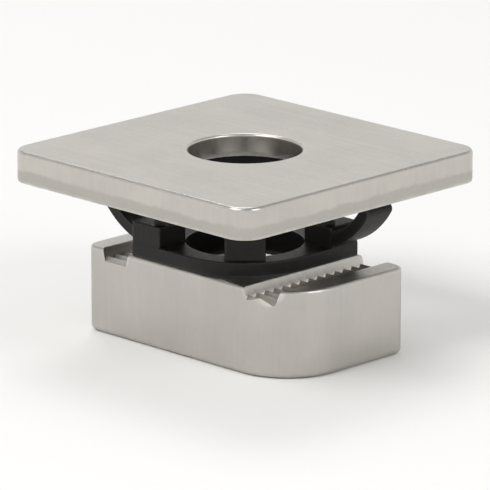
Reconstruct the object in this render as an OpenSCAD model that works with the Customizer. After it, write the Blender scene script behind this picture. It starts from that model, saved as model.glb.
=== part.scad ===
// Twist-in channel nut: a square saddle plate lies on the two lips of a slotted rail, an oblong
// toothed nut hangs inside the rail, and a sprung plastic holder keeps the two together until a
// bolt is fitted. The whole set is pushed through the slot and turned a quarter turn clockwise.
// The origin is under the middle of the nut, +Z is up along the bolt and +X is along the nut.

/* [Saddle plate] */
// Side of the square plate
plate_side = 41; // [38:0.5:60]
// Thickness of the plate
plate_t = 4; // [3:0.25:8]
// Radius of the plate's corners, seen from above
plate_corner_r = 3; // [1.5:0.25:8]
// Chamfer along the plate's outer edges and round its hole
plate_break = 0.4; // [0.1:0.05:0.8]
// Diameter of the plain hole for the bolt
plate_hole_d = 14; // [13:0.25:14.5]
// Depth of the round seat under the plate
plate_seat_depth = 1.2; // [0.6:0.1:1.8]

/* [Space for the rail's lips] */
// Height from the nut's top to the underside of the plate
lip_space = 9.5; // [9:0.25:16]

/* [Channel nut] */
// Length of the nut
nut_l = 35; // [31:0.5:40]
// Width of the nut
nut_w = 20.5; // [19.5:0.25:24]
// Height of the nut
nut_h = 11; // [8:0.5:16]
// Radius of the two opposite corners that pass the rail's walls during the turn
nut_turn_r = 8; // [4:0.5:9]
// Radius of the two corners that stop against the rail's walls
nut_stop_r = 1.5; // [1:0.25:3]
// Chamfer along the nut's lower edges
nut_lower_break = 0.8; // [0.2:0.1:0.9]
// Chamfer along the nut's upper edges
nut_upper_break = 0.4; // [0.1:0.1:0.8]
// Core diameter of the thread
thread_core_d = 10.2; // [6.8:0.1:10.6]
// Diameter of the countersink at each end of the thread
thread_mouth_d = 12.6; // [11.5:0.1:13.5]

/* [Toothed grooves] */
// Distance between the middles of the two grooves, which take the edges of the lips
groove_spacing = 24.5; // [24:0.25:26]
// Width of each groove at the nut's top
groove_w = 4.5; // [3.5:0.25:4.75]
// How far each side of a groove leans in at its floor
groove_lean = 0.5; // [0.2:0.1:0.8]
// Depth of the grooves to the roots of the teeth
groove_depth = 1.9; // [1.4:0.1:2.6]
// Distance from one tooth to the next
tooth_pitch = 1.5; // [1.2:0.1:2.5]
// Height of the teeth
tooth_h = 0.9; // [0.5:0.1:1.2]

/* [Spring holder] */
// Side of the neck that turns in the rail's slot
neck_w = 19.8; // [19.5:0.1:20.5]
// Radius of the neck's two square corners, which stop against the slot
neck_corner_r = 0.5; // [0.2:0.1:1]
// Diameter of the free way for the bolt
bolt_way_d = 14.6; // [14.5:0.1:15.2]
// Diameter of the ring in the plate's seat
ring_d = 19.4; // [18.6:0.1:19.5]
// How far the ring stands below the plate
ring_drop = 1.6; // [1:0.1:2]
// Diameter of the spigot in the nut's seat
spigot_d = 17; // [16.6:0.1:18]
// Depth of the spigot in the nut
spigot_depth = 1.5; // [0.8:0.1:2]
// Thickness of the foot that lies on the nut
foot_t = 1.8; // [1.2:0.1:2.4]
// Chamfer that leads the spigot and the ring into their seats
lead_in = 0.4; // [0.1:0.1:0.8]
// Side of the two square corner posts
post_w = 5; // [4:0.25:5.5]
// Height of the corner posts above the foot
post_h = 2.6; // [2.2:0.1:3]
// Thickness of the sprung legs from the corner posts to the ring
leg_t = 1.8; // [1.2:0.1:2]
// Thickness of the slim legs at the rounded corners
slim_leg_t = 1.4; // [1:0.1:1.6]
// Width of all four legs
leg_w = 5; // [3.5:0.25:5]
// How far the middle of a leg bows out of straight
leg_bow = 0.4; // [0.2:0.05:0.6]
// Reach of the wings' tips from the bolt's axis, along the nut
wing_reach = 16; // [13:0.25:17]
// Thickness of the wings
wing_t = 1.5; // [1:0.1:1.8]
// Space between the wings' tips and the plate
wing_clear = 1.6; // [1:0.1:3]
// How far the middle of a wing bows down out of straight
wing_bow = 0.7; // [0.3:0.1:1.2]
// Radius of the fillets above and below each wing, where it leaves its corner post
wing_fillet_r = 0.5; // [0.2:0.1:1]

/* [Fits] */
// Clearance all round the holder's ring and spigot in their seats
seat_clear = 0.05; // [0:0.01:0.1]

/* [Hidden] */
$fn = 96;
steel = "#c4beb8";
plastic = "#2b2928";
// Cutters run this far past the face that they open
past = 1;
// Height of the plate's underside above the origin
plate_z = nut_h + lip_space;
// Top of the holder's foot, and the end of its ring below the plate
foot_top_z = nut_h + foot_t;
ring_low_z = plate_z - ring_drop;
// Depth of the thread's countersinks, at 45 degrees
mouth_depth = (thread_mouth_d - thread_core_d) / 2;
// Middle of the holder's wall between the bolt's way and the ring's edge
ring_mid_r = (bolt_way_d + ring_d) / 4;
// Middle of a corner post, measured along the diagonal
post_mid_r = sqrt(2) * (neck_w - post_w) / 2;

// Half of a block's section, from its middle plane at x = 0 out to its chamfered side
function half_section(half, h, low, high) = [
    [0, 0],
    [half - low, 0],
    [half, low],
    [half, h - high],
    [half - high, h],
    [0, h]
];

// Block with two pairs of opposite corners, chamfered along its lower and upper edges.
// turn_r rounds the corners at +X -Y and -X +Y, and stop_r the other two.
module chamfered_block(l, w, h, turn_r, stop_r, low, high) {
    for (turn = [0, 180]) rotate(turn) {
        rotate([90, 0, 90])
            linear_extrude(l / 2 - stop_r) polygon(half_section(w / 2, h, low, high));
        mirror([0, 1, 0]) rotate([90, 0, 90])
            linear_extrude(l / 2 - turn_r) polygon(half_section(w / 2, h, low, high));
        translate([0, w / 2 - stop_r, 0]) rotate([90, 0, 0])
            linear_extrude(w - turn_r - stop_r) polygon(half_section(l / 2, h, low, high));
        translate([l / 2 - turn_r, turn_r - w / 2, 0])
            rotate_extrude() polygon(half_section(turn_r, h, low, high));
        translate([l / 2 - stop_r, w / 2 - stop_r, 0])
            rotate_extrude() polygon(half_section(stop_r, h, low, high));
    }
}

// Cutter for one toothed groove along Y: leaning sides, and V ridges across its floor
module groove_cutter() {
    floor_z = nut_h - groove_depth;
    top_z = nut_h + past;
    ridges = ceil(nut_w / tooth_pitch / 2) + 1;
    lean_slope = groove_lean / groove_depth;
    top_half = groove_w / 2 + past * lean_slope;
    floor_half = groove_w / 2 - groove_lean;
    intersection() {
        rotate([90, 0, 0])
            linear_extrude(nut_w + 2 * past, center = true)
            polygon([[-floor_half, floor_z], [floor_half, floor_z], [top_half, top_z], [-top_half, top_z]]);
        rotate([90, 0, 90])
            linear_extrude(groove_w + 2 * past, center = true)
            polygon(concat(
                [[ridges * tooth_pitch, top_z], [-ridges * tooth_pitch, top_z]],
                [for (i = [-2 * ridges : 2 * ridges])
                    [i * tooth_pitch / 2, floor_z + (i % 2 == 0 ? 0 : tooth_h)]]
            ));
    }
}

// Radius of the arc between two points whose middle lies this far out of straight
function bow_r(from, to, bow) = (pow(norm(to - from) / 2, 2) + bow * bow) / (2 * bow);

// Unit vector to the right of the way from one point to the other
function right_of(from, to) = [to.y - from.y, from.x - to.x] / norm(to - from);

// Centre of the bowed arc between two points, which bulges to the right of that way
function bow_centre(from, to, bow) =
    (from + to) / 2 - right_of(from, to) * (bow_r(from, to, bow) - bow);

// Strip of thickness t along an arc from one point to the other, bulging to the right of that way
module bowed_strip(from, to, t, bow) {
    right = right_of(from, to);
    r = bow_r(from, to, bow);
    half_angle = asin(norm(to - from) / 2 / r);
    middle_angle = atan2(right.y, right.x);
    translate(bow_centre(from, to, bow)) intersection() {
        difference() {
            circle(r + t / 2, $fn = 4 * $fn);
            circle(r - t / 2, $fn = 4 * $fn);
        }
        polygon(concat(
            [[0, 0]],
            [for (a = [-half_angle, 0, half_angle])
                2 * r * [cos(middle_angle + a), sin(middle_angle + a)]]
        ));
    }
}

// Fillet between the upright wall at wall_x and the wing to its right, whose middle line bows from
// root to tip. It is above the wing where side is 1, and below it where side is -1. The wall ends at
// the height end_z, and the fillet is no larger than fits there.
module root_fillet(wall_x, end_z, root, tip, side) {
    centre = bow_centre(root, tip, wing_bow);
    wing_r = bow_r(root, tip, wing_bow);
    face_r = wing_r - side * wing_t / 2;
    wall_away = wall_x - centre.x;
    end_below = centre.y - end_z;
    room = (face_r * face_r - wall_away * wall_away - end_below * end_below)
        / (2 * (wall_away + side * face_r));
    r = min(wing_fillet_r, room);
    middle_r = face_r - side * r;
    middle = [wall_x + r, centre.y - sqrt(pow(middle_r, 2) - pow(wall_away + r, 2))];
    to_touch = (middle - centre) / middle_r;
    if (r > 0) difference() {
        polygon([[wall_x, middle.y], middle, centre + to_touch * face_r, centre + to_touch * wing_r, root]);
        translate(middle) circle(r);
    }
}

// Outline of the neck: two square corners that stop in the slot, and two round ones that turn
module neck_outline() {
    half = neck_w / 2;
    circle(half);
    for (turn = [0, 180]) rotate(turn) {
        square([half, half - neck_corner_r]);
        square([half - neck_corner_r, half]);
        translate([half - neck_corner_r, half - neck_corner_r]) circle(neck_corner_r);
    }
}

// Sprung leg in the upright plane at the given angle, between two points of that plane
module leg(angle, from, to, t) {
    rotate([90, 0, angle])
        linear_extrude(leg_w, center = true) bowed_strip(from, to, t, leg_bow);
}

// Corner post on the foot, with the sprung leg up to the ring
module corner_leg() {
    translate([0, 0, foot_top_z - foot_t / 2]) linear_extrude(post_h + foot_t / 2) intersection() {
        neck_outline();
        translate([neck_w / 2 - post_w, neck_w / 2 - post_w]) square(post_w);
    }
    leg(45, [post_mid_r, foot_top_z], [ring_mid_r, ring_low_z + ring_drop / 2], leg_t);
}

// Slim leg from the foot to the ring at a rounded corner, bowed towards the bolt
module slim_leg() {
    slim_mid_r = (bolt_way_d + neck_w) / 4;
    leg(-45, [ring_mid_r, ring_low_z + ring_drop / 2], [slim_mid_r, foot_top_z - foot_t / 2], slim_leg_t);
}

// Wing that flares from the corner post out and up towards the plate, as wide as the post's flat
module wing() {
    wall_x = neck_w / 2;
    root = [wall_x - wing_t / 2, foot_top_z + wing_t / 2];
    tip = [wing_reach - wing_t / 2, plate_z - wing_clear - wing_t / 2];
    translate([0, neck_w / 2 - neck_corner_r, 0]) rotate([90, 0, 0])
        linear_extrude(post_w - neck_corner_r) {
            bowed_strip(root, tip, wing_t, wing_bow);
            translate(tip) circle(d = wing_t);
            root_fillet(wall_x, foot_top_z + post_h, root, tip, 1);
            root_fillet(wall_x, nut_h, root, tip, -1);
        }
}

// Square plate on the rail's lips, with the bolt's hole and the round seat for the holder's ring
module saddle_plate() {
    seat_d = ring_d + 2 * seat_clear;
    color(steel) translate([0, 0, plate_z]) difference() {
        chamfered_block(plate_side, plate_side, plate_t, plate_corner_r, plate_corner_r,
            plate_break, plate_break);
        translate([0, 0, -past]) cylinder(d = plate_hole_d, h = plate_t + 2 * past);
        translate([0, 0, -past]) cylinder(d = seat_d, h = plate_seat_depth + past);
        translate([0, 0, plate_t - plate_break])
            cylinder(d1 = plate_hole_d, d2 = plate_hole_d + 2 * (plate_break + past),
                h = plate_break + past);
    }
}

// One moulded piece: foot and spigot on the nut, ring under the plate, four legs and two wings
module spring_holder() {
    color(plastic) difference() {
        union() {
            translate([0, 0, nut_h]) linear_extrude(foot_t) neck_outline();
            translate([0, 0, nut_h - spigot_depth]) {
                cylinder(d1 = spigot_d - 2 * lead_in, d2 = spigot_d, h = lead_in);
                translate([0, 0, lead_in])
                    cylinder(d = spigot_d, h = spigot_depth + foot_t / 2 - lead_in);
            }
            translate([0, 0, ring_low_z])
                cylinder(d = ring_d, h = ring_drop + plate_seat_depth - lead_in);
            translate([0, 0, plate_z + plate_seat_depth - lead_in])
                cylinder(d1 = ring_d, d2 = ring_d - 2 * lead_in, h = lead_in);
            for (turn = [0, 180]) rotate(turn) {
                corner_leg();
                slim_leg();
                wing();
            }
        }
        translate([0, 0, nut_h - spigot_depth - past])
            cylinder(d = bolt_way_d, h = spigot_depth + lip_space + plate_seat_depth + 2 * past);
    }
}

// Oblong nut with the thread's core, its countersinks, the holder's seat and two toothed grooves
module channel_nut() {
    seat_z = nut_h - spigot_depth;
    color(steel) difference() {
        chamfered_block(nut_l, nut_w, nut_h, nut_turn_r, nut_stop_r, nut_lower_break, nut_upper_break);
        translate([0, 0, -past]) cylinder(d = thread_core_d, h = nut_h + 2 * past);
        translate([0, 0, -past])
            cylinder(d1 = thread_mouth_d + 2 * past, d2 = thread_core_d, h = mouth_depth + past);
        translate([0, 0, seat_z - mouth_depth])
            cylinder(d1 = thread_core_d, d2 = thread_mouth_d, h = mouth_depth);
        translate([0, 0, seat_z]) cylinder(d = spigot_d + 2 * seat_clear, h = spigot_depth + past);
        for (side = [-1, 1]) translate([side * groove_spacing / 2, 0, 0]) groove_cutter();
    }
}

saddle_plate();
spring_holder();
channel_nut();
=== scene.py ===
"""Looks of a twist-in channel nut, modelled and dressed round its packed construction.

A square saddle plate lies on top, an oblong toothed nut hangs below it, and a sprung plastic
holder keeps the two together. Each of the three is a class that models its piece with Blender's
own operators and dresses it in the finish that the real one has. Everything is in metres in the
construction's own frame; sizes in the classes are in millimetres.
"""

import logging
import math
from collections.abc import Callable, Iterator, Sequence
from contextlib import contextmanager
from dataclasses import dataclass
from enum import Enum
from itertools import pairwise
from typing import Any

import bmesh
import bpy
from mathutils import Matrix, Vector


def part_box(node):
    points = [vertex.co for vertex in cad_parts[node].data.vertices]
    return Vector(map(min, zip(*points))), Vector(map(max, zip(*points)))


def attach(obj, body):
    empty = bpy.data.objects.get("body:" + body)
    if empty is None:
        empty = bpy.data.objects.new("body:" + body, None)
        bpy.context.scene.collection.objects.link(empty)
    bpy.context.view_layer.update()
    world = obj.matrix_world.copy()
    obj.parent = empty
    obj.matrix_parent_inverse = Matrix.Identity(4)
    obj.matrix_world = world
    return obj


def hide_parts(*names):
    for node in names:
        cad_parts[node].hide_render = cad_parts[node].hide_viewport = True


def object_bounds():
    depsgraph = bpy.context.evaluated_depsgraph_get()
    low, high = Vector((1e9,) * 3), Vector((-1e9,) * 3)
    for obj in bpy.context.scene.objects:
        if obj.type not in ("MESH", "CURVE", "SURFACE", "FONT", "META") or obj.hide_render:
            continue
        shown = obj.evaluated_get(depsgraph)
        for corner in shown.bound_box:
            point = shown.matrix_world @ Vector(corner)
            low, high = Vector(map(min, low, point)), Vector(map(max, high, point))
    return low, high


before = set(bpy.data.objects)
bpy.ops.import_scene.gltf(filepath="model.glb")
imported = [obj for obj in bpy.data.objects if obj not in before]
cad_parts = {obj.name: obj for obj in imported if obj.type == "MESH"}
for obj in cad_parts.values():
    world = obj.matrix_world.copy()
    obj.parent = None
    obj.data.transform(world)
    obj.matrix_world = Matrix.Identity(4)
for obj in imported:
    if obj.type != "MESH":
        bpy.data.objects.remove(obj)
CAD_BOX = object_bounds()

log = logging.getLogger("channel_nut")

# One millimetre in the scene's metres.
MM = 0.001
# Lengths under this, in metres, are taken as nothing.
NEAR = 1e-6
# Cutters run this far past the face that they open, in millimetres.
PAST = 1.0
# Parts that are fused stop this far short of a flush face, in millimetres.
SEAM = 0.03
# Faces round a full turn of a lathed surface and of the thread, and round the floor's rim.
LATHE_STEPS = 128
THREAD_STEPS = 96
FLOOR_STEPS = 96
# Faces along a leaf, round its tip and along a fillet.
LEAF_STEPS = 12
TIP_STEPS = 8
FILLET_STEPS = 4
# The weight at which larger faces alone say how the rounded edges between them are shaded.
TOP_WEIGHT = 100
# Of the rays sent into a solid from a point, the share that stays in it under a flat and at an edge.
FLAT_SHARE = 0.92
EDGE_SHARE = 0.55
EDGE_RAYS = 8
# Nearly all of a noise pattern lies between these two.
NOISE_LOW = 0.3
NOISE_HIGH = 0.7
# How much less rough a surface is where it is rubbed most.
RUBBED_SMOOTHER = 0.1
# Turns about the bolt's axis in degrees: to a corner of the holder, and to its other side.
DIAGONAL = 45
HALF_TURN = 180
# The one body of a part without joints.
BODY = "root"

Rule = Callable[[Vector, Vector], bool]
Point = tuple[float, float]
Sizes = tuple[float, float, float]
Key = int | str
Inputs = dict[Key, Any]
Object = bpy.types.Object
Material = bpy.types.Material
Tree = bpy.types.NodeTree
Socket = bpy.types.NodeSocket


class Pick(Enum):
    """What an edit-mode selection is made of."""

    VERTICES = "VERT"
    EDGES = "EDGE"
    FACES = "FACE"


class Combine(Enum):
    """How one solid is combined with another."""

    CUT = "DIFFERENCE"
    FUSE = "UNION"


class Grain(Enum):
    """How a steel surface was made."""

    ROLLED = "cold-rolled strip, sheared at its edges"
    PRESSED = "hot pressed and tumbled"


@dataclass(frozen=True)
class Round:
    """The round on an edge: its radius in millimetres, and the faces across it."""

    radius: float
    faces: int


def linear_colour(code: str) -> tuple[float, float, float, float]:
    """Turns an sRGB hex colour into Blender's linear colour.

    Args:
        code: Six hex digits, red, green and blue.

    Returns:
        Linear red, green and blue, with full alpha.
    """
    channels = [int(code[i : i + 2], 16) / 255 for i in (0, 2, 4)]
    red, green, blue = (c / 12.92 if c <= 0.04045 else ((c + 0.055) / 1.055) ** 2.4 for c in channels)
    return (red, green, blue, 1.0)


def add_node(
    tree: Tree, kind: str, output: Key, inputs: Inputs | None = None, **settings: Any
) -> Socket:
    """Adds a node with its settings, and sets or links its inputs.

    Args:
        tree: The node tree to add to.
        kind: Blender's name for the type of node, without the ShaderNode that it starts with.
        output: Name or number of the output that is wanted.
        inputs: Input name or number to a value, or to the output socket that feeds it.
        **settings: The node's own settings.

    Returns:
        That output of the new node.
    """
    node = tree.nodes.new("ShaderNode" + kind)
    for name, value in settings.items():
        setattr(node, name, value)
    for key, value in (inputs or {}).items():
        if isinstance(value, Socket):
            tree.links.new(value, node.inputs[key])
        else:
            node.inputs[key].default_value = value
    return node.outputs[output]


def per(size: float) -> float:
    """Gives the texture scale, on coordinates in metres, of a pattern of this size in millimetres."""
    return 1 / (size * MM)


def make_active(piece: Object) -> None:
    """Leaves only one object selected, and makes it the active one.

    Args:
        piece: The object.
    """
    bpy.ops.object.select_all(action="DESELECT")
    piece.select_set(True)
    bpy.context.view_layer.objects.active = piece


def settle(name: str) -> Object:
    """Names the active object and puts its place, turn and scale into its mesh.

    Args:
        name: The object's new name.

    Returns:
        The object, at the origin, unturned and unscaled.
    """
    piece = bpy.context.object
    piece.name = name
    make_active(piece)
    bpy.ops.object.transform_apply(location=True, rotation=True, scale=True)
    return piece


@contextmanager
def picked(piece: Object, kind: Pick, rule: Rule) -> Iterator[int]:
    """Opens a piece in edit mode with only what the rule takes selected, and closes it again.

    Args:
        piece: The mesh object to open.
        kind: Whether vertices, edges or faces are picked.
        rule: Called with an element's middle, and with an edge's run or the element's normal.

    Yields:
        How many elements are selected.
    """
    make_active(piece)
    bpy.ops.object.mode_set(mode="EDIT")
    bpy.ops.mesh.select_mode(type=kind.value)
    bpy.ops.mesh.select_all(action="DESELECT")
    mesh = bmesh.from_edit_mesh(piece.data)
    if kind is Pick.VERTICES:
        places = [(v, v.co, v.normal) for v in mesh.verts]
    elif kind is Pick.EDGES:
        ends = [(e, e.verts[0].co, e.verts[1].co) for e in mesh.edges]
        places = [(e, (a + b) / 2, b - a) for e, a, b in ends]
    else:
        places = [(f, f.calc_center_median(), f.normal) for f in mesh.faces]
    taken = [element for element, middle, way in places if rule(middle, way)]
    for element in taken:
        element.select_set(True)
    mesh.select_flush_mode()
    bmesh.update_edit_mesh(piece.data)
    yield len(taken)
    bpy.ops.object.mode_set(mode="OBJECT")


def everything(_middle: Vector, _way: Vector) -> bool:
    """Takes every element."""
    return True


def nothing(_middle: Vector, _way: Vector) -> bool:
    """Takes no element."""
    return False


def face_outwards() -> None:
    """Points all faces of the piece that is open in edit mode outwards."""
    bpy.ops.mesh.select_all(action="SELECT")
    bpy.ops.mesh.normals_make_consistent(inside=False)


def level_edges(height: float) -> Rule:
    """Gives the rule that takes the level edges at a height in millimetres."""
    return lambda middle, run: abs(middle.z - height * MM) < NEAR and abs(run.z) < NEAR


def upright_edges(_middle: Vector, run: Vector) -> bool:
    """Takes the upright edges."""
    return abs(run.z) > NEAR


def turning_corners(middle: Vector, run: Vector) -> bool:
    """Takes the upright edges of the two opposite corners that are round, to let a piece turn."""
    return upright_edges(middle, run) and middle.x * middle.y < 0


def stop_corners(middle: Vector, run: Vector) -> bool:
    """Takes the upright edges of the two opposite corners that are square, to stop the turn."""
    return upright_edges(middle, run) and middle.x * middle.y > 0


def round_edges(piece: Object, edge: Round, rule: Rule) -> None:
    """Rounds the edges that the rule takes.

    Args:
        piece: The mesh object.
        edge: The round that they get.
        rule: Takes the edges, by their middle and run.
    """
    with picked(piece, Pick.EDGES, rule):
        bpy.ops.mesh.bevel(offset=edge.radius * MM, segments=edge.faces, profile=0.5, affect="EDGES")


def soften_sharp_edges(piece: Object, edge: Round, above: float) -> None:
    """Rounds every edge whose faces meet at more than an angle.

    Args:
        piece: The mesh object.
        edge: The round that they get.
        above: The angle in degrees.
    """
    with picked(piece, Pick.EDGES, nothing):
        bpy.ops.mesh.edges_select_sharp(sharpness=math.radians(above))
        bpy.ops.mesh.bevel(offset=edge.radius * MM, segments=edge.faces, profile=0.5, affect="EDGES")


def add_block(name: str, low: Sequence[float], high: Sequence[float]) -> Object:
    """Adds a box between two corners.

    Args:
        name: The object's name.
        low: Lowest corner in millimetres.
        high: Highest corner in millimetres.

    Returns:
        The box.
    """
    low_corner, high_corner = Vector(low) * MM, Vector(high) * MM
    bpy.ops.mesh.primitive_cube_add(
        size=1, location=(low_corner + high_corner) / 2, scale=high_corner - low_corner
    )
    return settle(name)


def add_sheet(name: str, middle: Sequence[float], size: Point, cells: tuple[int, int]) -> Object:
    """Adds a level sheet.

    Args:
        name: The object's name.
        middle: Its middle in millimetres.
        size: Its sides along X and Y in millimetres.
        cells: Faces along each side.

    Returns:
        The sheet, open all round.
    """
    bpy.ops.mesh.primitive_grid_add(
        x_subdivisions=cells[0], y_subdivisions=cells[1], size=1, location=Vector(middle) * MM
    )
    bpy.context.object.scale = (size[0] * MM, size[1] * MM, 1)
    return settle(name)


def draw_outline(name: str, points: Sequence[Point]) -> Object:
    """Draws an open chain of edges in the upright plane y = 0, by extruding one vertex on and on.

    Args:
        name: The object's name.
        points: Distance along X and height of each point, in millimetres.

    Returns:
        The chain, a mesh of edges only.
    """
    bpy.ops.mesh.primitive_plane_add(size=MM)
    chain = settle(name)
    with picked(chain, Pick.VERTICES, everything):
        bpy.ops.mesh.merge(type="CENTER")
        bpy.ops.transform.translate(value=(points[0][0] * MM, 0, points[0][1] * MM))
        for (x, z), (next_x, next_z) in pairwise(points):
            step = ((next_x - x) * MM, 0, (next_z - z) * MM)
            bpy.ops.mesh.extrude_region_move(TRANSFORM_OT_translate={"value": step})
    return chain


def arc(centre: Point, radius: float, first: float, last: float, steps: int) -> list[Point]:
    """Gives the points of an arc for an outline.

    Args:
        centre: The arc's centre, in millimetres.
        radius: Its radius in millimetres.
        first: Angle of its first point in radians, from outwards to upwards.
        last: Angle of its last point in radians.
        steps: How many chords it is made of.

    Returns:
        The points, both ends included.
    """
    angles = [first + (last - first) * i / steps for i in range(steps + 1)]
    return [(centre[0] + radius * math.cos(a), centre[1] + radius * math.sin(a)) for a in angles]


def add_lathed(name: str, points: Sequence[Point]) -> Object:
    """Spins an outline a full turn round the bolt's axis.

    Args:
        name: The object's name.
        points: The outline, which starts and ends on the axis.

    Returns:
        The turned solid.
    """
    solid = draw_outline(name, points)
    with picked(solid, Pick.EDGES, everything):
        bpy.ops.mesh.spin(steps=LATHE_STEPS, angle=math.tau, center=(0, 0, 0), axis=(0, 0, 1))
        bpy.ops.mesh.select_all(action="SELECT")
        bpy.ops.mesh.remove_doubles(threshold=NEAR)
        face_outwards()
    return solid


def add_strip(name: str, points: Sequence[Point], width: float, middle_y: float = 0) -> Object:
    """Fills an outline drawn in the upright plane and extrudes it along Y.

    Args:
        name: The object's name.
        points: The outline, whose last point is joined to the first.
        width: Its width along Y in millimetres.
        middle_y: The middle of that width.

    Returns:
        The solid.
    """
    solid = draw_outline(name, points)
    with picked(solid, Pick.VERTICES, everything):
        bpy.ops.mesh.edge_face_add()
        bpy.ops.transform.translate(value=(0, (middle_y - width / 2) * MM, 0))
        bpy.ops.mesh.extrude_region_move(TRANSFORM_OT_translate={"value": (0, width * MM, 0)})
        face_outwards()
    return solid


def combine(piece: Object, others: Sequence[Object], how: Combine) -> None:
    """Cuts other solids out of a piece, or fuses them to the piece, all at once, and removes them.

    Args:
        piece: The mesh object that stays.
        others: The mesh objects that are used up.
        how: Whether to cut or to fuse.
    """
    group = bpy.data.collections.new("combined")
    for other in others:
        group.objects.link(other)
    modifier = piece.modifiers.new("combine", "BOOLEAN")
    modifier.operation = how.value
    modifier.solver = "EXACT"
    modifier.operand_type = "COLLECTION"
    modifier.collection = group
    make_active(piece)
    bpy.ops.object.modifier_apply(modifier=modifier.name)
    for other in others:
        bpy.data.objects.remove(other, do_unlink=True)
    bpy.data.collections.remove(group)


def close_surface(piece: Object, smooth_under: float) -> None:
    """Merges doubles, points the faces outwards and smooths what is meant to be round.

    Args:
        piece: The finished mesh object.
        smooth_under: Faces that meet at less than this angle, in degrees, shade as one surface.
    """
    with picked(piece, Pick.VERTICES, everything):
        bpy.ops.mesh.remove_doubles(threshold=NEAR)
        bpy.ops.mesh.dissolve_degenerate(threshold=NEAR)
        face_outwards()
    bpy.ops.object.shade_smooth_by_angle(angle=math.radians(smooth_under))
    modifier = piece.modifiers.new("weighted", "WEIGHTED_NORMAL")
    modifier.keep_sharp = True
    modifier.weight = TOP_WEIGHT
    bpy.ops.object.modifier_apply(modifier=modifier.name)


def dress(piece: Object, material: Material, node: str) -> None:
    """Gives a piece its material and its place in the construction.

    Args:
        piece: The finished mesh object.
        material: Its material.
        node: The construction's node that it stands for.
    """
    piece.data.materials.clear()
    piece.data.materials.append(material)
    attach(piece, BODY)
    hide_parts(node)
    log.info("%s: %d faces, %s", piece.name, len(piece.data.polygons), material.name)


@dataclass(frozen=True)
class BowedLeaf:
    """A leaf whose middle line is an arc between two points, bulging to the right of that way."""

    start: Point
    end: Point
    bow: float
    thickness: float
    width: float
    middle_y: float = 0.0

    def radius(self) -> float:
        """Gives the radius of the middle line."""
        chord = (Vector(self.end) - Vector(self.start)).length
        return (chord * chord / 4 + self.bow * self.bow) / (2 * self.bow)

    def centre(self) -> Vector:
        """Works out the centre of the middle line.

        Returns:
            The centre, by its distance along X and its height in millimetres.
        """
        start, end = Vector(self.start), Vector(self.end)
        left = Vector((start.y - end.y, end.x - start.x)).normalized()
        return (start + end) / 2 + left * (self.radius() - self.bow)

    def angle(self, point: Sequence[float]) -> float:
        """Gives the angle at which the centre sees a point, counted on from that of the start.

        Args:
            point: Distance along X and height, in millimetres.

        Returns:
            The angle in radians, less than half a turn from that of the start.
        """
        centre = self.centre()
        first = math.atan2(self.start[1] - centre.y, self.start[0] - centre.x)
        here = math.atan2(point[1] - centre.y, point[0] - centre.x)
        return first + math.remainder(here - first, math.tau)

    def faces(self, outer_from: float, inner_from: float, tip: Sequence[Point] = ()) -> list[Point]:
        """Gives the leaf's outline, up its outer face, round its tip and back down its inner face.

        Args:
            outer_from: Angle at which the outer face starts.
            inner_from: Angle at which the inner face ends.
            tip: The points between the two faces at the leaf's end.

        Returns:
            The outline in the upright plane, in millimetres.
        """
        half, last = self.thickness / 2, self.angle(self.end)
        outer = arc(self.centre(), self.radius() + half, outer_from, last, LEAF_STEPS)
        inner = arc(self.centre(), self.radius() - half, last, inner_from, LEAF_STEPS)
        return [*outer, *tip, *inner]

    def outline(self) -> list[Point]:
        """Gives the outline of the leaf, cut square at both ends."""
        first = self.angle(self.start)
        return self.faces(first, first)

    def build(self, name: str, edge: Round) -> Object:
        """Models the leaf.

        Args:
            name: The object's name.
            edge: The round along its edges.

        Returns:
            The leaf, a closed solid.
        """
        leaf = add_strip(name, self.outline(), self.width, self.middle_y)
        round_edges(leaf, edge, lambda _middle, run: abs(run.y) < NEAR)
        return leaf


@dataclass(frozen=True)
class Wing(BowedLeaf):
    """A leaf with a round tip, which grows out of an upright wall with a fillet on both faces."""

    wall_x: float = 0.0
    upper_fillet: float = 0.5
    lower_fillet: float = 0.5

    def fillet(self, side: int) -> tuple[list[Point], float]:
        """Works out one fillet.

        Args:
            side: 1 for the fillet above the wing, -1 for the one below it.

        Returns:
            Its points from the wall to the wing, and the angle at which the wing's face takes over.
        """
        fillet_r = self.upper_fillet if side > 0 else self.lower_fillet
        centre = self.centre()
        middle_r = self.radius() - side * (self.thickness / 2 + fillet_r)
        middle_x = self.wall_x + fillet_r
        middle = (middle_x, centre.y - math.sqrt(middle_r**2 - (middle_x - centre.x) ** 2))
        meets = self.angle(middle)
        touch = meets + (math.tau if side > 0 else math.pi)
        return arc(middle, fillet_r, math.pi, touch, FILLET_STEPS), meets

    def outline(self) -> list[Point]:
        """Draws the wing from inside the wall, round its tip and back into the wall.

        Returns:
            The outline in the upright plane, in millimetres.
        """
        below, outer_from = self.fillet(-1)
        above, inner_from = self.fillet(1)
        last = self.angle(self.end)
        tip = arc(self.end, self.thickness / 2, last, last + math.pi, TIP_STEPS)[1:-1]
        inside_x = self.wall_x - self.thickness / 2
        ends = [(inside_x, above[0][1]), (inside_x, below[0][1])]
        return [*below[:-1], *self.faces(outer_from, inner_from, tip), *above[-2::-1], *ends]


def turned(piece: Object, degrees: float) -> Object:
    """Turns a piece about the bolt's axis and puts the turn into its mesh.

    Args:
        piece: The mesh object.
        degrees: How far it is turned.

    Returns:
        The same object.
    """
    piece.rotation_euler.z = math.radians(degrees)
    make_active(piece)
    return settle(piece.name)


def copied(piece: Object, name: str) -> Object:
    """Copies a piece.

    Args:
        piece: The mesh object.
        name: The copy's name.

    Returns:
        The copy, with its own mesh.
    """
    make_active(piece)
    bpy.ops.object.duplicate(linked=False)
    return settle(name)


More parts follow.
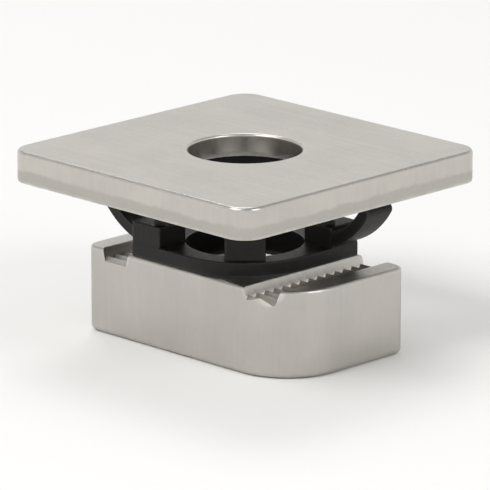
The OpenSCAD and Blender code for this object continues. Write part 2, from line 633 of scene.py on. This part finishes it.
def near_edges(tree: Tree, reach: float) -> Socket:
    """Tells where a surface is near an outward edge, by how soon the solid ends behind it.

    Args:
        tree: The material's node tree.
        reach: How far from an edge this is felt, in millimetres.

    Returns:
        1 along an edge and 0 on the flats.
    """
    behind = add_node(
        tree, "AmbientOcclusion", "AO", {"Distance": reach * MM},
        inside=True, only_local=True, samples=EDGE_RAYS,
    )
    return add_node(
        tree, "MapRange", "Result", {"Value": behind, "From Min": FLAT_SHARE, "From Max": EDGE_SHARE}
    )


def uneven(tree: Tree, pattern: Socket, roughness: Point) -> Socket:
    """Lets the roughness follow a pattern.

    Args:
        tree: The material's node tree.
        pattern: The pattern, nearly all of it between NOISE_LOW and NOISE_HIGH.
        roughness: The roughness where the pattern is low, and where it is high.

    Returns:
        The roughness.
    """
    spread = {"From Min": NOISE_LOW, "From Max": NOISE_HIGH, "To Min": roughness[0], "To Max": roughness[1]}
    return add_node(tree, "MapRange", "Result", {"Value": pattern, **spread})


def new_material(name: str, settings: Inputs) -> Material:
    """Makes a material.

    Args:
        name: Its name.
        settings: What is the same all over it, by the name of the shader's input.

    Returns:
        The material, whose shader has nothing linked to it yet.
    """
    material = bpy.data.materials.new(name)
    material.use_nodes = True
    shader = material.node_tree.nodes["Principled BSDF"]
    for key, value in settings.items():
        shader.inputs[key].default_value = value
    return material


@dataclass(frozen=True)
class Pattern:
    """Soft patches: their size in millimetres, the finer layers in them and how strong those are."""

    size: float
    layers: float
    strength: float

    def over(self, place: Socket) -> Inputs:
        """Gives the inputs of the noise that draws these patches over some coordinates."""
        return {"Vector": place, "Scale": per(self.size), "Detail": self.layers, "Roughness": self.strength}


@dataclass(frozen=True)
class Surface:
    """What a finish comes to at each point: its colour, roughness, and relief in millimetres."""

    tone: Socket
    rough: Socket
    relief: Socket

    def cover(self, material: Material, wear_and_highlight: Socket, wear_and_highlight_tone: str) -> None:
        """Pales and smooths the surface near its edges, partly as handling wear and partly as a painted
        highlight, and feeds it to a material.

        Args:
            material: The material.
            wear_and_highlight: How far each point is rubbed, and so painted paler as an edge highlight.
            wear_and_highlight_tone: The colour where it is rubbed most, partly wear and partly painted
                highlight.
        """
        tree = material.node_tree
        # Paler towards the edges: handling wear, and a painted highlight along them.
        tone = add_node(
            tree, "Mix", 2, {0: wear_and_highlight, 6: self.tone, 7: linear_colour(wear_and_highlight_tone)}, data_type="RGBA"
        )
        rough = add_node(
            tree, "Math", 0, {0: wear_and_highlight, 1: -RUBBED_SMOOTHER, 2: self.rough}, operation="MULTIPLY_ADD"
        )
        bump = add_node(
            tree, "Bump", "Normal", {"Strength": 1.0, "Distance": MM, "Height": self.relief}
        )
        shader = tree.nodes["Principled BSDF"]
        tree.links.new(tone, shader.inputs["Base Color"])
        tree.links.new(rough, shader.inputs["Roughness"])
        tree.links.new(bump, shader.inputs["Normal"])


@dataclass(frozen=True)
class ZincPlatedSteel:
    """Mild steel with a bright electroplated zinc coat: light grey, satin, faintly clouded.

    Strip is sheared to size, so its sides have a smooth band on top, dragged by the tool, and a
    rough, duller one below, where the steel broke. Sizes, heights and depths are in millimetres, and
    the two roughnesses are those between the zinc's crystals and on them.
    """

    name: str
    grain: Grain
    cool_tone: str
    warm_tone: str
    # The rubbed edges' tone, partly handling wear and partly painted highlight.
    wear_and_highlight_tone: str
    roughness: Point
    mark_depth: float
    drag_depth: float
    # The plating's faint clouds run from the cool to the warm tone, and its marks show in them.
    clouds: Pattern = Pattern(7, 3.0, 0.55)
    cloud_span: Point = (0.36, 0.64)
    mark_share: float = 0.45
    # Zinc crystals are a few hundredths of a millimetre; drawn at 0.45 mm, so that they show.
    crystals: Pattern = Pattern(0.45, 3.0, 0.6)
    crystal_depth: float = 0.008
    # Rolling lines run along X, about 0.1 mm apart; drawn 0.5 mm apart and 14 mm long, to show.
    rolling: Sizes = (14, 0.5, 2)
    # Tumbling leaves shallow dimples about 1.2 mm across.
    dimples: Pattern = Pattern(1.2, 2.5, 0.5)
    # The tool's upright drag marks are 0.1 mm apart; drawn 0.5 mm apart, to show. The colour takes
    # only this share of them.
    drags: Sizes = (0.5, 0.5, 5)
    drag_share: float = 0.5
    # Handling rubs the edges bright, more in some places than in others; the bright edges also stand as a
    # painted highlight.
    edge_reach: float = 0.6
    patches: Pattern = Pattern(2.5, 4.0, 0.65)
    patch_span: Point = (0.35, 0.65)
    # The upward share of a face's normal, over which it is level, and under which it is a side.
    level_over: float = 0.6
    side_under: float = 0.3
    # The band where sheared steel broke: its border wanders in waves, and coarse grains stand out.
    broken_tone: str = "b6b3ad"
    broken_h: float = 1.6
    waves: Pattern = Pattern(3, 4.0, 0.65)
    wander: float = 1.4
    border_blur: float = 0.2
    torn: Pattern = Pattern(0.55, 4.0, 0.6)
    torn_depth: float = 0.13
    torn_rougher: float = 0.12

    def lines(self, tree: Tree, place: Socket, sizes: Sizes) -> Socket:
        """Draws the fine lines that rolls or a tool leave.

        Args:
            tree: The material's node tree.
            place: The piece's own coordinates.
            sizes: A line's size along X, Y and Z.

        Returns:
            The lines, from 0 to 1.
        """
        drawn_out = add_node(
            tree, "Mapping", "Vector", {"Vector": place, "Scale": [per(size) for size in sizes]}
        )
        return add_node(
            tree, "TexNoise", "Fac", {"Vector": drawn_out, "Scale": 1.0, "Detail": 2.0, "Roughness": 0.5}
        )

    def wear_and_highlight(self, tree: Tree, place: Socket) -> Socket:
        """Tells where handling has rubbed the edges, which are painted paler partly as wear and partly as a
        highlight.

        Args:
            tree: The material's node tree.
            place: The piece's own coordinates.

        Returns:
            How far each point is rubbed and painted with the edge highlight.
        """
        patches = add_node(tree, "TexNoise", "Fac", self.patches.over(place))
        low, high = self.patch_span
        share = add_node(
            tree, "MapRange", "Result", {"Value": patches, "From Min": low, "From Max": high}
        )
        edges = near_edges(tree, self.edge_reach)
        return add_node(tree, "Math", 0, {0: edges, 1: share}, operation="MULTIPLY")

    def tone(self, tree: Tree, place: Socket, marks: Socket) -> Socket:
        """Mixes the coat's colour.

        Args:
            tree: The material's node tree.
            place: The piece's own coordinates.
            marks: The marks, which show in it as fine lighter and darker lines.

        Returns:
            The colour.
        """
        clouds = add_node(tree, "TexNoise", "Fac", self.clouds.over(place))
        mottle = add_node(tree, "Mix", 0, {0: self.mark_share, 2: clouds, 3: marks}, data_type="FLOAT")
        low, high = self.cloud_span
        share = add_node(
            tree, "MapRange", "Result", {"Value": mottle, "From Min": low, "From Max": high}
        )
        cool, warm = linear_colour(self.cool_tone), linear_colour(self.warm_tone)
        return add_node(tree, "Mix", 2, {0: share, 6: cool, 7: warm}, data_type="RGBA")

    def worked(self, tree: Tree, place: Socket, upright: Socket, crystals: Socket) -> Surface:
        """Gives the surface as rolling or tumbling, and the tool on its sides, have left it.

        Args:
            tree: The material's node tree.
            place: The piece's own coordinates.
            upright: 1 on the sides.
            crystals: The zinc's crystals.

        Returns:
            The surface, still without the relief of the crystals.
        """
        drags = self.lines(tree, place, self.drags)
        if self.grain is Grain.ROLLED:
            marks = self.lines(tree, place, self.rolling)
        else:
            marks = add_node(tree, "TexNoise", "Fac", self.dimples.over(place))
        soft_drags = add_node(
            tree, "Math", 0, {0: drags, 1: self.drag_share, 2: (1 - self.drag_share) / 2},
            operation="MULTIPLY_ADD",
        )
        seen_marks = add_node(tree, "Mix", 0, {0: upright, 2: marks, 3: soft_drags}, data_type="FLOAT")
        face_marks, side_marks = (
            add_node(tree, "Math", 0, {0: source, 1: depth}, operation="MULTIPLY")
            for source, depth in ((marks, self.mark_depth), (drags, self.drag_depth))
        )
        relief = add_node(tree, "Mix", 0, {0: upright, 2: face_marks, 3: side_marks}, data_type="FLOAT")
        return Surface(self.tone(tree, place, seen_marks), uneven(tree, crystals, self.roughness), relief)

    def broken(
        self, tree: Tree, place: Socket, upright: Socket, surface: Surface, border_z: float
    ) -> Surface:
        """Roughens and dulls the band of the sides where sheared steel broke.

        Args:
            tree: The material's node tree.
            place: The piece's own coordinates.
            upright: 1 on the sides.
            surface: The surface where it isn't broken.
            border_z: Middle height of the band's upper border.

        Returns:
            The surface with the band.
        """
        waves = add_node(tree, "TexNoise", "Fac", self.waves.over(place))
        height = add_node(tree, "SeparateXYZ", "Z", {"Vector": place})
        wandering = add_node(
            tree, "Math", 0, {0: waves, 1: self.wander * MM, 2: height}, operation="MULTIPLY_ADD"
        )
        middle_z = border_z + self.wander / 2
        high, low = (middle_z + self.border_blur) * MM, (middle_z - self.border_blur) * MM
        below = add_node(
            tree, "MapRange", "Result", {"Value": wandering, "From Min": high, "From Max": low}
        )
        band = add_node(tree, "Math", 0, {0: below, 1: upright}, operation="MULTIPLY")
        grains = add_node(tree, "TexNoise", "Fac", self.torn.over(place))
        # The grains lie as high as the drag marks on the whole, so that the border is no step.
        sunk = (self.drag_depth - self.torn_depth) / 2
        torn = add_node(
            tree, "Math", 0, {0: grains, 1: self.torn_depth, 2: sunk}, operation="MULTIPLY_ADD"
        )
        tone = add_node(
            tree, "Mix", 2, {0: band, 6: surface.tone, 7: linear_colour(self.broken_tone)}, data_type="RGBA"
        )
        rough = add_node(
            tree, "Math", 0, {0: band, 1: self.torn_rougher, 2: surface.rough}, operation="MULTIPLY_ADD"
        )
        relief = add_node(tree, "Mix", 0, {0: band, 2: surface.relief, 3: torn}, data_type="FLOAT")
        return Surface(tone, rough, relief)

    def make(self, low_z: float) -> Material:
        """Makes the material, all of it worked out from the piece's own coordinates and shape.

        Args:
            low_z: Height of the piece's underside.

        Returns:
            The material.
        """
        material = new_material(self.name, {"Metallic": 1.0})
        tree = material.node_tree
        place = add_node(tree, "TexCoord", "Object")
        crystals = add_node(tree, "TexNoise", "Fac", self.crystals.over(place))
        normal = add_node(tree, "NewGeometry", "True Normal")
        up_share = add_node(tree, "SeparateXYZ", "Z", {"Vector": normal})
        level = add_node(tree, "Math", 0, {0: up_share}, operation="ABSOLUTE")
        upright = add_node(
            tree, "MapRange", "Result",
            {"Value": level, "From Min": self.level_over, "From Max": self.side_under},
        )
        surface = self.worked(tree, place, upright, crystals)
        if self.grain is Grain.ROLLED:
            surface = self.broken(tree, place, upright, surface, low_z + self.broken_h)
        relief = add_node(
            tree, "Math", 0, {0: crystals, 1: self.crystal_depth, 2: surface.relief},
            operation="MULTIPLY_ADD",
        )
        finished = Surface(surface.tone, surface.rough, relief)
        # The edges are painted paler: partly handling wear, partly a painted highlight.
        finished.cover(material, self.wear_and_highlight(tree, place), self.wear_and_highlight_tone)
        return material


@dataclass(frozen=True)
class MouldedNylon:
    """Black injection-moulded nylon: near-black, matt from a fine spark-eroded mould.

    Sizes and depths are in millimetres, and the two roughnesses are those between the mould's grains
    and on them.
    """

    name: str
    dark_tone: str
    flow_tone: str
    # The edges' paler tone is partly wear and partly a painted highlight.
    wear_and_highlight_tone: str
    roughness: Point
    gloss_level: float
    ior: float = 1.53
    edge_reach: float = 0.35
    # The melt's flow leaves soft lighter patches about 4 mm across.
    flow: Pattern = Pattern(4, 2.0, 0.5)
    # The mould's grain is about 0.05 mm; drawn at 0.35 mm, so that it shows.
    grain: Pattern = Pattern(0.35, 3.0, 0.65)
    grain_depth: float = 0.035

    def make(self) -> Material:
        """Makes the material, all of it worked out from the piece's own coordinates and shape.

        Returns:
            The material.
        """
        material = new_material(self.name, {"IOR": self.ior, "Specular IOR Level": self.gloss_level})
        tree = material.node_tree
        place = add_node(tree, "TexCoord", "Object")
        flow = add_node(tree, "TexNoise", "Fac", self.flow.over(place))
        dark, lighter = linear_colour(self.dark_tone), linear_colour(self.flow_tone)
        tone = add_node(tree, "Mix", 2, {0: flow, 6: dark, 7: lighter}, data_type="RGBA")
        grain = add_node(tree, "TexNoise", "Fac", self.grain.over(place))
        relief = add_node(tree, "Math", 0, {0: grain, 1: self.grain_depth}, operation="MULTIPLY")
        surface = Surface(tone, uneven(tree, grain, self.roughness), relief)
        # The edges are painted paler all round: partly wear, partly a painted highlight.
        surface.cover(material, near_edges(tree, self.edge_reach), self.wear_and_highlight_tone)
        return material


# Each finish's rubbed tone pales its edges: partly wear, partly a painted highlight.
PLATE_FINISH = ZincPlatedSteel(
    "zinc plated strip steel", Grain.ROLLED, cool_tone="bdbab5", warm_tone="c8c3bc",
    wear_and_highlight_tone="e4e1dc", roughness=(0.28, 0.38), mark_depth=0.012, drag_depth=0.016,
)
NUT_FINISH = ZincPlatedSteel(
    "zinc plated pressed steel", Grain.PRESSED, cool_tone="b9b6b2", warm_tone="c3bfb9",
    wear_and_highlight_tone="dddad5", roughness=(0.32, 0.42), mark_depth=0.04, drag_depth=0.006,
)
HOLDER_FINISH = MouldedNylon(
    "black moulded nylon", dark_tone="0e0c0c", flow_tone="191716", wear_and_highlight_tone="3a3634",
    roughness=(0.39, 0.52), gloss_level=0.27,
)


@dataclass
class SaddlePlate:
    """The square plate on top: punched from strip, with one plain hole."""

    node: str = "saddle_plate"
    hole_r: float = 7.0
    seat_r: float = 9.75
    seat_depth: float = 1.2
    corner: Round = Round(3.0, 20)
    rolled_edge: Round = Round(0.45, 4)
    under_edge: Round = Round(0.2, 2)
    hole_edge: Round = Round(0.35, 4)
    smooth_under: float = 32
    finish: ZincPlatedSteel = PLATE_FINISH

    def hole_cutter(self, low_z: float, high_z: float) -> Object:
        """Turns the cutter for the hole and the round seat under it.

        Args:
            low_z: Height of the plate's underside in millimetres.
            high_z: Height of its top in millimetres.

        Returns:
            The cutter, flared at the top so that it leaves a rounded rim.
        """
        edge_r = self.hole_edge.radius
        rim_r = self.hole_r + edge_r
        rim = arc((rim_r, high_z - edge_r), edge_r, math.pi, math.pi / 2, self.hole_edge.faces)
        return add_lathed(
            "hole_cutter",
            [
                (0, low_z - PAST),
                (self.seat_r, low_z - PAST),
                (self.seat_r, low_z + self.seat_depth),
                (self.hole_r, low_z + self.seat_depth),
                *rim,
                (rim_r, high_z + PAST),
                (0, high_z + PAST),
            ],
        )

    def build(self) -> Object:
        """Models and dresses the plate.

        Returns:
            The finished piece.
        """
        low, high = (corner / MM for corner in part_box(self.node))
        plate = add_block("square_saddle_plate", low, high)
        round_edges(plate, self.corner, upright_edges)
        round_edges(plate, self.rolled_edge, level_edges(high.z))
        round_edges(plate, self.under_edge, level_edges(low.z))
        combine(plate, [self.hole_cutter(low.z, high.z)], Combine.CUT)
        close_surface(plate, self.smooth_under)
        dress(plate, self.finish.make(low.z), self.node)
        return plate


@dataclass
class ChannelNut:
    """The oblong nut below: two toothed grooves, a thread and a round seat on top."""

    node: str = "channel_nut"
    turning_corner: Round = Round(8.0, 24)
    stop_corner: Round = Round(1.5, 8)
    lower_edge: Round = Round(0.8, 5)
    upper_edge: Round = Round(0.4, 4)
    groove_middle: float = 12.25
    groove_w: float = 4.5
    groove_lean: float = 0.5
    groove_depth: float = 1.9
    groove_rim: float = 0.18
    tooth_pitch: float = 1.5
    tooth_h: float = 0.9
    tooth_edge: Round = Round(0.09, 3)
    # Teeth that the groove's cutter has past either end of the nut.
    spare_teeth: int = 2
    core_r: float = 5.1
    thread_r: float = 6.0
    thread_pitch: float = 1.75
    flank_angle: float = 30
    crest_share: float = 1 / 8
    # Turns of the thread's cutter that are wound below the nut and trimmed off.
    spare_turns: int = 2
    mouth_r: float = 6.3
    seat_r: float = 8.55
    seat_depth: float = 1.5
    smooth_under: float = 32
    finish: ZincPlatedSteel = NUT_FINISH

    def groove_width(self, depth: float) -> float:
        """Gives a groove's width in millimetres at a depth under the nut's top."""
        return self.groove_w - 2 * self.groove_lean * depth / self.groove_depth

    def groove_cutter(self, middle_x: float, top_z: float, length: float) -> Object:
        """Folds and raises a sheet into the cutter for one toothed groove along Y.

        Args:
            middle_x: The groove's middle in millimetres.
            top_z: Height of the nut's top in millimetres.
            length: Length of the groove in millimetres.

        Returns:
            The cutter.
        """
        half_tooth = self.tooth_pitch / 2
        cells = 2 * (math.ceil(length / self.tooth_pitch) + self.spare_teeth)
        floor_z = top_z - self.groove_depth
        floor_w = self.groove_width(self.groove_depth)
        rim_w = self.groove_width(self.groove_rim)
        end_y = cells / 2 * half_tooth * MM
        axis_point = Vector((middle_x, 0, 0)) * MM
        sheet_size = (floor_w, cells * half_tooth)
        cutter = add_sheet("groove_cutter", (middle_x, 0, floor_z), sheet_size, (1, cells))
        with picked(cutter, Pick.VERTICES, lambda place, _way: round(place.y / half_tooth / MM) % 2 == 1):
            bpy.ops.transform.translate(value=(0, 0, self.tooth_h * MM))
        round_edges(
            cutter, self.tooth_edge, lambda at, run: abs(run.x) > NEAR and abs(at.y) < end_y - NEAR
        )
        with picked(cutter, Pick.FACES, everything):
            for height, width in ((-self.groove_rim, rim_w / floor_w), (PAST, 1 + 2 * PAST / rim_w)):
                bpy.ops.mesh.extrude_region_move(TRANSFORM_OT_translate={"value": (0, 0, MM)})
                bpy.ops.transform.resize(
                    value=(width, 1, 0), center_override=axis_point + Vector((0, 0, top_z + height)) * MM
                )
        crest_z = (floor_z + self.tooth_h / 2) * MM
        rim_z = (top_z - self.groove_rim) * MM
        crest_w = self.groove_width(self.groove_depth - self.tooth_h)
        with picked(cutter, Pick.VERTICES, lambda place, _way: crest_z < place.z < rim_z - NEAR):
            bpy.ops.transform.resize(value=(crest_w / floor_w, 1, 1), center_override=axis_point)
        with picked(cutter, Pick.VERTICES, everything):
            face_outwards()
        return cutter

    def thread_cutter(self, low_z: float, high_z: float) -> Object:
        """Winds the thread's form into a threaded rod and trims it level at both ends.

        Args:
            low_z: Height of its lower end in millimetres.
            high_z: Height of its upper end in millimetres.

        Returns:
            The rod, which leaves a 60 degree thread in what it is cut from.
        """
        flank = (self.thread_r - self.core_r) * math.tan(math.radians(self.flank_angle))
        crest = self.thread_pitch * self.crest_share
        root = self.thread_pitch - crest - 2 * flank
        first_z = low_z - self.spare_turns * self.thread_pitch
        heights = [0, root / 2, root / 2 + flank, root / 2 + flank + crest, root / 2 + 2 * flank + crest]
        radii = [self.core_r, self.core_r, self.thread_r, self.thread_r, self.core_r, self.core_r]
        form = [(r, first_z + h) for r, h in zip(radii, [*heights, self.thread_pitch])]
        rod = draw_outline("thread_cutter", form)
        screw = rod.modifiers.new("thread", "SCREW")
        screw.screw_offset = self.thread_pitch * MM
        screw.iterations = math.ceil((high_z - first_z) / self.thread_pitch) + 1
        screw.steps = THREAD_STEPS
        screw.render_steps = THREAD_STEPS
        screw.use_merge_vertices = False
        make_active(rod)
        bpy.ops.object.modifier_apply(modifier=screw.name)
        with picked(rod, Pick.VERTICES, everything):
            bpy.ops.mesh.remove_doubles(threshold=NEAR)
            for height, above in ((low_z, True), (high_z, False)):
                bpy.ops.mesh.select_all(action="SELECT")
                bpy.ops.mesh.bisect(
                    plane_co=(0, 0, height * MM),
                    plane_no=(0, 0, 1),
                    use_fill=True,
                    clear_inner=above,
                    clear_outer=not above,
                )
            face_outwards()
        return rod

    def mouth_cutter(self, low_z: float, seat_z: float, high_z: float) -> Object:
        """Turns the cutter for both countersinks and the round seat above the thread.

        Args:
            low_z: Height of the nut's underside in millimetres.
            seat_z: Height of the seat's floor in millimetres.
            high_z: Height of the nut's top in millimetres.

        Returns:
            The cutter, whose core stays just inside that of the thread.
        """
        core_r = self.core_r - SEAM
        slope = self.mouth_r - core_r
        return add_lathed(
            "mouth_cutter",
            [
                (0, low_z - PAST),
                (self.mouth_r + PAST, low_z - PAST),
                (core_r, low_z + slope),
                (core_r, seat_z - slope),
                (self.mouth_r, seat_z),
                (self.seat_r, seat_z),
                (self.seat_r, high_z + PAST),
                (0, high_z + PAST),
            ],
        )

    def build(self) -> Object:
        """Models and dresses the nut.

        Returns:
            The finished piece.
        """
        low, high = (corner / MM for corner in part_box(self.node))
        seat_z = high.z - self.seat_depth
        nut = add_block("toothed_channel_nut", low, high)
        round_edges(nut, self.turning_corner, turning_corners)
        round_edges(nut, self.stop_corner, stop_corners)
        round_edges(nut, self.lower_edge, level_edges(low.z))
        round_edges(nut, self.upper_edge, level_edges(high.z))
        way_through = self.mouth_cutter(low.z, seat_z, high.z)
        combine(way_through, [self.thread_cutter(low.z - PAST / 2, seat_z + PAST / 2)], Combine.FUSE)
        sides = (-self.groove_middle, self.groove_middle)
        grooves = [self.groove_cutter(middle_x, high.z, high.y - low.y) for middle_x in sides]
        combine(nut, [way_through, *grooves], Combine.CUT)
        close_surface(nut, self.smooth_under)
        dress(nut, self.finish.make(low.z), self.node)
        return nut


@dataclass
class SpringHolder:
    """The moulded holder between plate and nut: foot, ring, four sprung legs and two wings."""

    node: str = "spring_holder"
    neck_w: float = 19.8
    bolt_way_r: float = 7.3
    spigot_r: float = 8.5
    spigot_depth: float = 1.5
    foot_t: float = 1.8
    ring_r: float = 9.7
    ring_drop: float = 1.6
    seat_depth: float = 1.2
    post_w: float = 5.0
    post_h: float = 2.6
    leg_w: float = 5.0
    leg_t: float = 1.8
    slim_leg_t: float = 1.4
    leg_bow: float = 0.4
    wing_t: float = 1.5
    wing_clear: float = 1.6
    wing_bow: float = 0.7
    lead_in: float = 0.4
    upper_fillet: float = 0.38
    lower_fillet: float = 0.5
    corner: Round = Round(0.5, 5)
    soft_edge: Round = Round(0.22, 3)
    leg_edge: Round = Round(0.22, 2)
    wing_edge: Round = Round(0.16, 2)
    sharp_above: float = 50
    # The foot's turning corners take nearly all of half its side.
    turning_share: float = 0.998
    turning_faces: int = 28
    smooth_under: float = 38
    finish: MouldedNylon = HOLDER_FINISH

    def standing_parts(self, foot_top_z: float, plate_z: float, reach: float) -> list[Object]:
        """Models what stands on one half of the foot: a corner post, two sprung legs and a wing.

        Args:
            foot_top_z: Height of the foot's top in millimetres.
            plate_z: Height of the saddle plate's underside in millimetres.
            reach: Reach of the wing's tip from the bolt's axis in millimetres.

        Returns:
            The four solids, which run into each other and into the foot and ring.
        """
        half = self.neck_w / 2
        inner = half - self.post_w
        post_mid_r = math.sqrt(2) * (half - self.post_w / 2)
        ring_mid_r = (self.bolt_way_r + self.ring_r) / 2
        slim_mid_r = (self.bolt_way_r + half) / 2
        in_foot_z = foot_top_z - self.foot_t / 2
        in_ring_z = plate_z - self.ring_drop / 2
        post_top_z = foot_top_z + self.post_h
        post = add_block("post", (inner, inner, in_foot_z), (half - SEAM, half - SEAM, post_top_z))
        post_middle = (half - self.post_w / 2) * MM
        round_edges(
            post, self.corner, lambda at, run: upright_edges(at, run) and min(at.x, at.y) > post_middle
        )
        soften_sharp_edges(post, self.soft_edge, self.sharp_above)
        leg = BowedLeaf(
            (post_mid_r, foot_top_z), (ring_mid_r, in_ring_z), self.leg_bow, self.leg_t, self.leg_w
        )
        slim_leg = BowedLeaf(
            (ring_mid_r, in_ring_z), (slim_mid_r, in_foot_z), self.leg_bow, self.slim_leg_t, self.leg_w
        )
        wing = Wing(
            (half - self.wing_t / 2, foot_top_z + self.wing_t / 2),
            (reach - self.wing_t / 2, plate_z - self.wing_clear - self.wing_t / 2),
            self.wing_bow,
            self.wing_t,
            self.post_w - self.corner.radius - 2 * SEAM,
            (inner + half - self.corner.radius) / 2,
            half - 2 * SEAM,
            self.upper_fillet,
            self.lower_fillet,
        )
        return [
            post,
            wing.build("wing", self.wing_edge),
            turned(leg.build("leg", self.leg_edge), DIAGONAL),
            turned(slim_leg.build("slim_leg", self.leg_edge), -DIAGONAL),
        ]

    def spigot(self, low_z: float, high_z: float) -> Object:
        """Turns the spigot, with a lead-in chamfer round its lower rim.

        Args:
            low_z: Height of its lower face in millimetres.
            high_z: Height at which it ends inside the foot.

        Returns:
            The spigot.
        """
        radius, lead_in = self.spigot_r, self.lead_in
        rim = [(radius - lead_in, low_z), (radius, low_z + lead_in)]
        return add_lathed("spigot", [(0, low_z), *rim, (radius, high_z), (0, high_z)])

    def ring(self, low_z: float, high_z: float) -> Object:
        """Turns the ring, with a soft lower rim and a lead-in chamfer round its upper one.

        Args:
            low_z: Height of its lower face in millimetres.
            high_z: Height of its upper face in millimetres.

        Returns:
            The ring, still a full disc.
        """
        radius, lead_in, soft = self.ring_r, self.lead_in, self.soft_edge.radius
        low_rim = arc((radius - soft, low_z + soft), soft, -math.pi / 2, 0, self.soft_edge.faces)
        high_rim = [(radius, high_z - lead_in), (radius - lead_in, high_z)]
        return add_lathed("ring", [(0, low_z), *low_rim, *high_rim, (0, high_z)])

    def build(self) -> Object:
        """Models and dresses the holder.

        Returns:
            The finished piece.
        """
        low, high = (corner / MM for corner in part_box(self.node))
        half = self.neck_w / 2
        nut_top_z = low.z + self.spigot_depth
        foot_top_z = nut_top_z + self.foot_t
        plate_z = high.z - self.seat_depth
        holder = add_block("sprung_holder", (-half, -half, nut_top_z), (half, half, foot_top_z))
        round_edges(holder, Round(half * self.turning_share, self.turning_faces), turning_corners)
        round_edges(holder, self.corner, stop_corners)
        round_edges(holder, self.soft_edge, level_edges(foot_top_z))
        spigot = self.spigot(low.z, nut_top_z + self.foot_t / 2)
        ring = self.ring(plate_z - self.ring_drop, high.z)
        one_side = self.standing_parts(foot_top_z, plate_z, high.x)
        other_side = [turned(copied(part, part.name + "_again"), HALF_TURN) for part in one_side]
        combine(holder, [spigot, ring, *one_side, *other_side], Combine.FUSE)
        bolt_way = add_lathed(
            "bolt_way",
            [
                (0, low.z - PAST),
                (self.bolt_way_r, low.z - PAST),
                (self.bolt_way_r, high.z + PAST),
                (0, high.z + PAST),
            ],
        )
        combine(holder, [bolt_way], Combine.CUT)
        close_surface(holder, self.smooth_under)
        dress(holder, self.finish.make(), self.node)
        return holder


@dataclass(frozen=True)
class Panel:
    """A square soft light panel: where it hangs, its side in metres and its power in watts."""

    name: str
    place: Sizes
    side: float
    power: float


@dataclass
class Studio:
    """A pale plain floor, an evenly lit room, high soft panels, and a camera on a long lens.

    Radii and panels are in metres; the lens, the widths and the gap under the part in millimetres.
    """

    azimuth: float = 45.0
    elevation: float = 15.7
    focal_length: float = 400.0
    sensor_width: float = 36.0
    frame_width: float = 60.0
    floor_r: float = 0.36
    floor_fades_from: float = 0.20
    floor_gap: float = 0.02
    floor_tone: str = "efeeec"
    floor_roughness: float = 0.9
    floor_gloss: float = 0.1
    horizon_tone: str = "fcfbf9"
    zenith_tone: str = "a9aaac"
    # Heights on the room's sphere, of radius 1, where the horizon's tone ends and the zenith's starts.
    horizon_h: float = 0.1
    zenith_h: float = 0.9
    room_strength: float = 0.95
    panels: tuple[Panel, ...] = (
        Panel("key panel", (-0.10, -0.60, 0.75), 0.45, 4.5),
        Panel("side panel", (0.70, 0.10, 0.50), 0.35, 1.6),
        Panel("back panel", (-0.45, 0.35, 0.80), 0.40, 2.0),
    )

    def floor(self) -> None:
        """Lays a pale floor just under the part, which fades into the room towards its rim."""
        bpy.ops.mesh.primitive_circle_add(
            vertices=FLOOR_STEPS,
            radius=self.floor_r,
            fill_type="NGON",
            location=(0, 0, -self.floor_gap * MM),
        )
        floor = settle("studio_floor")
        settings = {
            "Base Color": linear_colour(self.floor_tone),
            "Roughness": self.floor_roughness,
            "Specular IOR Level": self.floor_gloss,
        }
        material = new_material("pale matt floor", settings)
        tree = material.node_tree
        place = add_node(tree, "TexCoord", "Object")
        away = add_node(tree, "VectorMath", "Value", {0: place}, operation="LENGTH")
        cover = add_node(
            tree, "MapRange", "Result",
            {"Value": away, "From Min": self.floor_r, "From Max": self.floor_fades_from},
            interpolation_type="SMOOTHSTEP",
        )
        tree.links.new(cover, tree.nodes["Principled BSDF"].inputs["Alpha"])
        floor.data.materials.append(material)

    def surround(self) -> None:
        """Lights the room evenly, palest at the horizon and greyer overhead."""
        world = bpy.data.worlds.new("studio room")
        world.use_nodes = True
        tree = world.node_tree
        way = add_node(tree, "TexCoord", "Generated")
        height = add_node(tree, "SeparateXYZ", "Z", {"Vector": way})
        rise = add_node(
            tree, "MapRange", "Result",
            {"Value": height, "From Min": self.horizon_h, "From Max": self.zenith_h},
            interpolation_type="SMOOTHSTEP",
        )
        pale, grey = linear_colour(self.horizon_tone), linear_colour(self.zenith_tone)
        tone = add_node(tree, "Mix", 2, {0: rise, 6: pale, 7: grey}, data_type="RGBA")
        background = tree.nodes["Background"]
        background.inputs["Strength"].default_value = self.room_strength
        tree.links.new(tone, background.inputs["Color"])
        bpy.context.scene.world = world

    def light(self, target: Vector) -> None:
        """Hangs the light panels, each facing the part.

        Args:
            target: The point that they face.
        """
        for panel in self.panels:
            data = bpy.data.lights.new(panel.name, "AREA")
            data.shape = "SQUARE"
            data.size = panel.side
            data.energy = panel.power
            lamp = bpy.data.objects.new(panel.name, data)
            lamp.location = panel.place
            lamp.rotation_euler = (target - lamp.location).to_track_quat("-Z", "Y").to_euler()
            bpy.context.scene.collection.objects.link(lamp)

    def camera(self, target: Vector) -> None:
        """Sets up the camera on a long lens.

        Args:
            target: The point in the middle of its picture.
        """
        data = bpy.data.cameras.new("camera")
        data.lens = self.focal_length
        data.sensor_width = self.sensor_width
        camera = bpy.data.objects.new("camera", data)
        turn, rise = math.radians(self.azimuth), math.radians(self.elevation)
        back = Vector((math.sin(turn) * math.cos(rise), -math.cos(turn) * math.cos(rise), math.sin(rise)))
        camera.location = target + back * (self.frame_width * MM * self.focal_length / self.sensor_width)
        camera.rotation_euler = (-back).to_track_quat("-Z", "Y").to_euler()
        bpy.context.scene.collection.objects.link(camera)
        bpy.context.scene.camera = camera

    def build(self) -> None:
        """Sets up floor, room light, panels and camera."""
        target = (CAD_BOX[0] + CAD_BOX[1]) / 2
        self.floor()
        self.surround()
        self.light(target)
        self.camera(target)
        bpy.context.scene.view_settings.view_transform = "Standard"


def main() -> None:
    """Builds the studio and the three pieces."""
    logging.basicConfig(level=logging.INFO, format="%(name)s: %(message)s")
    Studio().build()
    for sub_assembly in (SaddlePlate(), ChannelNut(), SpringHolder()):
        sub_assembly.build()


if __name__ == "__main__":
    main()
